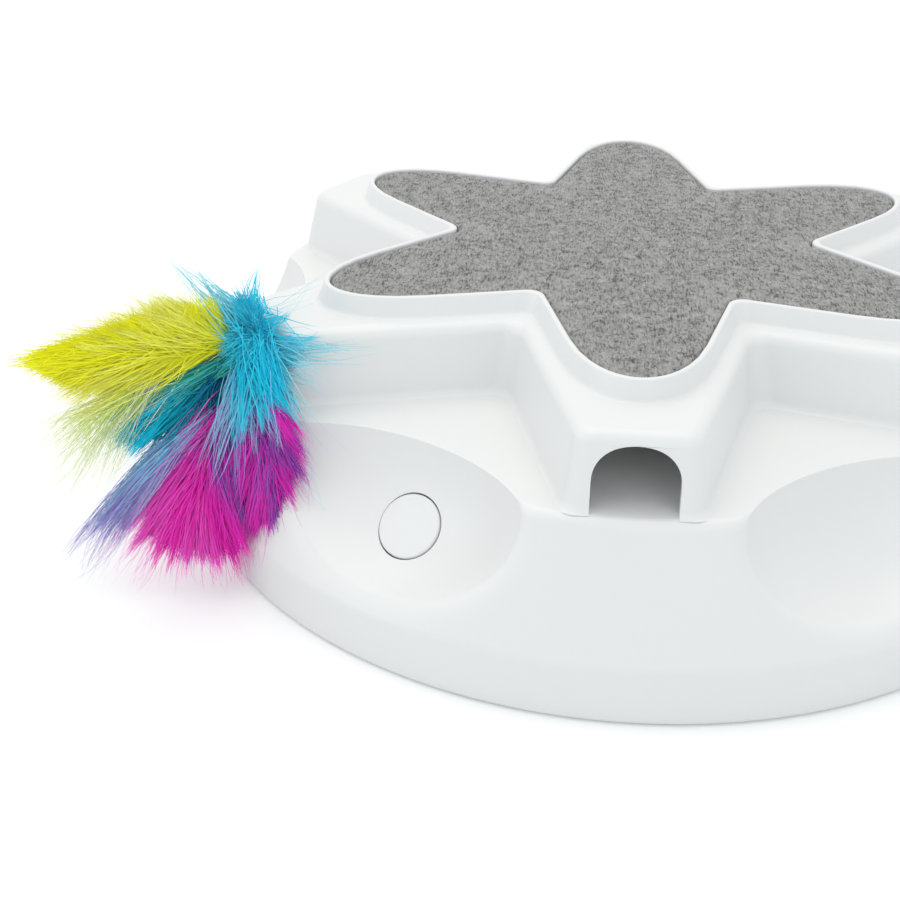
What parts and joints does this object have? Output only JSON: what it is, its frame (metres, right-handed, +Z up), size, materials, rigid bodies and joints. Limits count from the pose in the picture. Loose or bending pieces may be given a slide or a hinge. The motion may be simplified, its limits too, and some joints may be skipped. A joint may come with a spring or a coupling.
{
  "type": "electronic cat toy",
  "caption": "Round motorised cat toy: a star-shaped scratching pad, arches at the arm ends, and a feather lure on a wand that pops out of them.",
  "frame": {"origin": "middle of the centre foot's lower face, on the table, on the turntable's axis", "axes": "+Z up along the turntable's axis, -Y through the front arm's arch, +X to the right seen from the front"},
  "size_m": [0.317, 0.29, 0.083],
  "materials": {
    "shell_white": "moulded, satin gloss",
    "felt_grey": "needle-punched felt with dark and light fibres",
    "tray_grey": "moulded, fine grain",
    "foot_rubber": "matt",
    "steel": "zinc plated",
    "contact_brass": "plain",
    "gear_nylon": "natural nylon",
    "cell_jacket": "printed film, bare",
    "board_green": "solder mask",
    "lead_black": "insulated lead",
    "lead_red": "insulated lead",
    "feather_turquoise": "dyed down feather",
    "feather_yellow": "dyed down feather",
    "feather_magenta": "dyed down feather"
  },
  "bodies": {
    "base": {"outer_shell": "shell_white", "star_housing": "shell_white", "scratch_pad": "felt_grey", "base_tray": "tray_grey", "battery_door": "tray_grey", "rubber_foot_1": "foot_rubber", "rubber_foot_2": "foot_rubber", "rubber_foot_3": "foot_rubber", "rubber_foot_4": "foot_rubber", "rubber_foot_5": "foot_rubber", "rubber_foot_6": "foot_rubber", "centre_foot": "foot_rubber", "housing_screw_1": "steel", "housing_screw_2": "steel", "housing_screw_3": "steel", "housing_screw_4": "steel", "housing_screw_5": "steel", "housing_screw_6": "steel", "star_screw_1": "steel", "star_screw_2": "steel", "star_screw_3": "steel", "door_screw": "steel", "battery_1": "cell_jacket", "battery_2": "cell_jacket", "battery_3": "cell_jacket", "flat_contact": "contact_brass", "spring_contact": "contact_brass", "circuit_board": "board_green", "battery_lead": "lead_black", "switch_lead": "lead_black", "motor_lead": "lead_red", "rotor_lead": "lead_red", "button_spring": "steel", "button_bracket": "gear_nylon", "push_switch": "cell_jacket", "pivot_pin": "steel", "thrust_washer": "gear_nylon", "drive_motor": "steel"},
    "rotor": {"turntable": "gear_nylon", "turntable_gear": "gear_nylon", "motor_plate": "gear_nylon", "wand_motor": "steel", "wand_cover": "tray_grey"},
    "pinion": {"drive_pinion": "contact_brass"},
    "rack_pinion": {"wand_pinion": "contact_brass"},
    "wand": {"wand_rack": "gear_nylon", "wand_rod": "gear_nylon", "lure_ferrule": "steel", "feather_tuft": "feather_turquoise", "plume_turquoise": "feather_turquoise", "plume_yellow": "feather_yellow", "plume_magenta": "feather_magenta"},
    "button": {"power_button": "shell_white", "switch_plunger": "gear_nylon"}
  },
  "joints": [
    {"name": "turntable_spin", "type": "hinge", "parent": "base", "child": "rotor", "pos_m": [0, 0, 0.04], "axis": [0, 0, 1], "range_deg": [-180, 180], "deforming": ["rotor_lead", "wand_rod", "lure_ferrule"]},
    {"name": "drive_pinion_spin", "type": "hinge", "parent": "base", "child": "pinion", "pos_m": [0, 0.0497, 0.044], "axis": [0, 0, 1], "range_deg": [-760, 760]},
    {"name": "wand_slide", "type": "slide", "parent": "rotor", "child": "wand", "axis": [-0.866, -0.5, 0], "range_m": [-0.06, 0], "deforming": ["feather_tuft", "plume_turquoise", "plume_yellow", "plume_magenta"]},
    {"name": "wand_pinion_spin", "type": "hinge", "parent": "rotor", "child": "rack_pinion", "pos_m": [-0.00602, 0.00842, 0.063], "axis": [0, 0, 1], "range_deg": [-10, 560]},
    {"name": "button_press", "type": "slide", "parent": "base", "child": "button", "axis": [0.3597, 0.623, -0.6947], "range_m": [0, 0.0015], "stiffness_N_per_m": 400, "springref_m": -0.001, "deforming": ["button_spring"]}
  ],
  "couplings": [
    {"joint": "drive_pinion_spin", "follows": "turntable_spin", "ratio": -4.1667},
    {"joint": "wand_pinion_spin", "follows": "wand_slide", "rad_per_m": -142.86}
  ]
}
